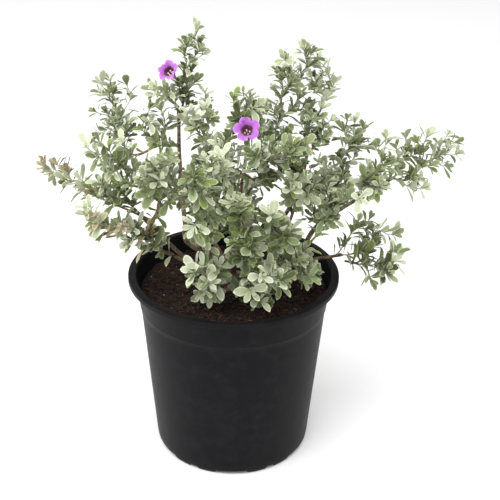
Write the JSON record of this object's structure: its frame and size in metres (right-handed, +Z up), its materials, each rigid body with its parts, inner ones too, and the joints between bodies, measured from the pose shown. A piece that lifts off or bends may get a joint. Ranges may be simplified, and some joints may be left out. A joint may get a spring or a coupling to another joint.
{
  "type": "potted texas sage shrub",
  "caption": "Young silver-leaved texas sage shrub with lilac bell flowers, growing from a short trunk in a round black moulded nursery pot.",
  "frame": {"origin": "centre of the pot's flat underside, on the surface that the pot stands on", "axes": "+Z up; the plant's broad front, as pictured, faces -Y, and +X is to the right seen from the front"},
  "size_m": [0.4417, 0.2638, 0.4629],
  "materials": {
    "black_moulded_plastic": "satin",
    "dark_potting_soil": "matte",
    "grey_brown_bark": "matte",
    "silver_green_foliage": "matte"
  },
  "bodies": {
    "root": {"pot": "black_moulded_plastic", "root_ball": "dark_potting_soil", "trunk": "grey_brown_bark", "bough_left_stem": "grey_brown_bark", "bough_left_mid": "grey_brown_bark", "bough_left_long": "grey_brown_bark", "bough_left_low": "grey_brown_bark", "bough_right_arm": "grey_brown_bark", "bough_right_low": "grey_brown_bark", "bough_right_low_twig": "grey_brown_bark", "bough_right_spire": "grey_brown_bark", "bough_centre": "grey_brown_bark", "bough_front_left": "grey_brown_bark", "bough_front_right": "grey_brown_bark", "bough_front_mid": "grey_brown_bark", "bough_back_left": "grey_brown_bark", "bough_back_right": "grey_brown_bark", "foliage_spire_tip": "silver_green_foliage", "foliage_spire_body": "silver_green_foliage", "foliage_spire_left": "silver_green_foliage", "foliage_spire_low_left": "silver_green_foliage", "foliage_spire_low_right": "silver_green_foliage", "foliage_upper_left": "silver_green_foliage", "foliage_left_mid": "silver_green_foliage", "foliage_left_mid_low": "silver_green_foliage", "foliage_left_arm": "silver_green_foliage", "foliage_low_left": "silver_green_foliage", "foliage_front_left": "silver_green_foliage", "foliage_front_mid_a": "silver_green_foliage", "foliage_front_mid_b": "silver_green_foliage", "foliage_front_low_a": "silver_green_foliage", "foliage_front_low_b": "silver_green_foliage", "foliage_front_mid_c": "silver_green_foliage", "foliage_front_mid_d": "silver_green_foliage", "foliage_front_low_d": "silver_green_foliage", "foliage_front_right_a": "silver_green_foliage", "foliage_front_right_b": "silver_green_foliage", "foliage_flower_shoot": "silver_green_foliage", "foliage_centre_high": "silver_green_foliage", "foliage_centre_b": "silver_green_foliage", "foliage_centre_c": "silver_green_foliage", "foliage_centre_d": "silver_green_foliage", "foliage_centre_e": "silver_green_foliage", "foliage_right_tip": "silver_green_foliage", "foliage_right_tip_left": "silver_green_foliage", "foliage_right_tip_right": "silver_green_foliage", "foliage_right_body": "silver_green_foliage", "foliage_right_mid": "silver_green_foliage", "foliage_right_in": "silver_green_foliage", "foliage_right_arm_base": "silver_green_foliage", "foliage_right_arm_in": "silver_green_foliage", "foliage_right_arm_mid": "silver_green_foliage", "foliage_right_arm_tip": "silver_green_foliage", "foliage_right_low": "silver_green_foliage", "foliage_right_low_tip": "silver_green_foliage", "foliage_back_left": "silver_green_foliage", "foliage_back_mid_left": "silver_green_foliage", "foliage_back_mid_right": "silver_green_foliage", "foliage_back_right": "silver_green_foliage", "foliage_back_low": "silver_green_foliage"}
  },
  "joints": []
}
